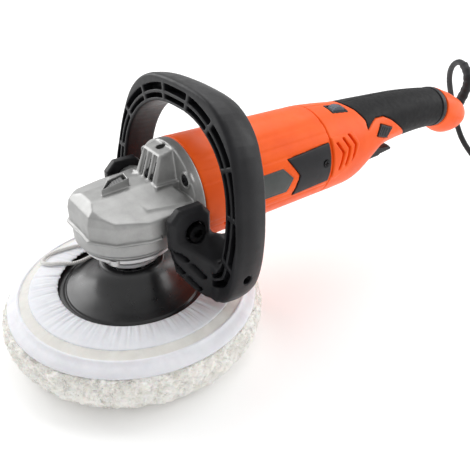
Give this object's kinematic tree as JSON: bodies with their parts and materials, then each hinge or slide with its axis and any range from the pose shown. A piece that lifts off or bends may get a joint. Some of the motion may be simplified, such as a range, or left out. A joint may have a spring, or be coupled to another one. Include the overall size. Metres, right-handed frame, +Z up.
{
  "type": "rotary polisher",
  "caption": "Corded rotary polisher with a bevel gear head, D-handle, wool bonnet on a screw-on backing plate, paddle trigger and speed dial.",
  "frame": {"origin": "centre of the bonnet's working face on the spindle axis", "axes": "+Z up along the spindle axis, +Y rearwards along the motor axis towards the grip, +X towards the side with the lock-on button"},
  "size_m": [0.262, 0.7194, 0.192],
  "materials": {
    "cast_aluminium": "satin shot-blasted casting",
    "machined_aluminium": "turned",
    "steel": "zinc plated",
    "gear_steel": "oiled steel",
    "black_bolt": "blackened",
    "plate_black": "gloss moulded",
    "foam": "foam rubber",
    "wool": "short curly wool pile",
    "cloth": "white gathered cotton",
    "string": "cotton cord",
    "laminations": "varnished laminations",
    "copper": "enamelled copper",
    "brass": "plain brass",
    "carbon": "carbon",
    "inner_black": "glass-filled nylon",
    "orange_plastic": "satin moulded",
    "black_plastic": "fine texture",
    "label_grey": "satin printed label",
    "grip_rubber": "soft overmould",
    "handle_black": "fine texture",
    "board_green": "circuit board",
    "cord_rubber": "rubber sheath",
    "plug_black": "moulded plug"
  },
  "bodies": {
    "machine": {"gear_housing": "cast_aluminium", "bearing_flange": "machined_aluminium", "flange_screws": "steel", "head_screws": "steel", "spindle_bearing_lower": "steel", "spindle_bearing_upper": "steel", "rotor_bearing_front": "steel", "rotor_bearing_rear": "steel", "brush_cover_screws": "steel", "housing_screws": "steel", "dial_axle": "steel", "trigger_pin": "steel", "trigger_spring": "steel", "lock_spring": "steel", "brush_springs": "steel", "handle_washers": "steel", "handle_bolts": "black_bolt", "stator": "laminations", "field_coils": "copper", "brush_holders": "brass", "plug_pins": "brass", "carbon_brushes": "carbon", "bearing_bracket": "inner_black", "fan_baffle": "inner_black", "switch_body": "inner_black", "lock_block": "inner_black", "cord_clamp": "inner_black", "motor_housing": "orange_plastic", "rear_housing_left": "orange_plastic", "rear_housing_right": "orange_plastic", "end_cap": "orange_plastic", "brush_covers": "black_plastic", "label_plates": "label_grey", "soft_grip": "grip_rubber", "grip_rim": "grip_rubber", "d_handle": "handle_black", "speed_board": "board_green", "strain_relief": "cord_rubber", "cord_tube": "cord_rubber", "cord_coil": "cord_rubber", "cord_lead": "cord_rubber", "plug": "plug_black"},
    "spindle_group": {"spindle": "steel", "ring_gear": "gear_steel", "retaining_nut": "gear_steel", "backing_plate": "plate_black", "plate_insert": "steel", "foam_pad": "foam", "wool_bonnet": "wool", "cloth_cover": "cloth", "drawstring": "string"},
    "rotor": {"pinion": "gear_steel", "rotor_shaft": "steel", "cooling_fan": "inner_black", "rotor_core": "laminations", "commutator": "copper"},
    "trigger": {"trigger_paddle": "black_plastic"},
    "lock_on": {"lock_button": "black_plastic"},
    "spindle_lock": {"spindle_lock_button": "black_plastic"},
    "dial": {"speed_dial": "black_plastic"}
  },
  "joints": [
    {"name": "spindle_spin", "type": "hinge", "parent": "machine", "child": "spindle_group", "pos_m": [0, 0, 0.08], "axis": [0, 0, 1], "continuous": true},
    {"name": "rotor_spin", "type": "hinge", "parent": "machine", "child": "rotor", "pos_m": [0, 0.1, 0.11], "axis": [0, 1, 0], "continuous": true},
    {"name": "trigger_pull", "type": "hinge", "parent": "machine", "child": "trigger", "pos_m": [0, 0.2475, 0.092], "axis": [1, 0, 0], "range_deg": [0, 5], "stiffness_Nm_per_rad": 0.6, "springref_deg": -2.86},
    {"name": "lock_on_push", "type": "slide", "parent": "machine", "child": "lock_on", "axis": [-1, 0, 0], "range_m": [0, 0.003], "stiffness_N_per_m": 400, "springref_m": -0.001},
    {"name": "spindle_lock_push", "type": "slide", "parent": "machine", "child": "spindle_lock", "axis": [0, 0, -1], "range_m": [0, 0.0034], "stiffness_N_per_m": 500, "springref_m": -0.001},
    {"name": "speed_dial_turn", "type": "hinge", "parent": "machine", "child": "dial", "pos_m": [0.008, 0.197, 0.1388], "axis": [1, 0, 0], "range_deg": [-135, 135]}
  ],
  "couplings": [
    {"joint": "rotor_spin", "follows": "spindle_spin", "ratio": 4}
  ]
}
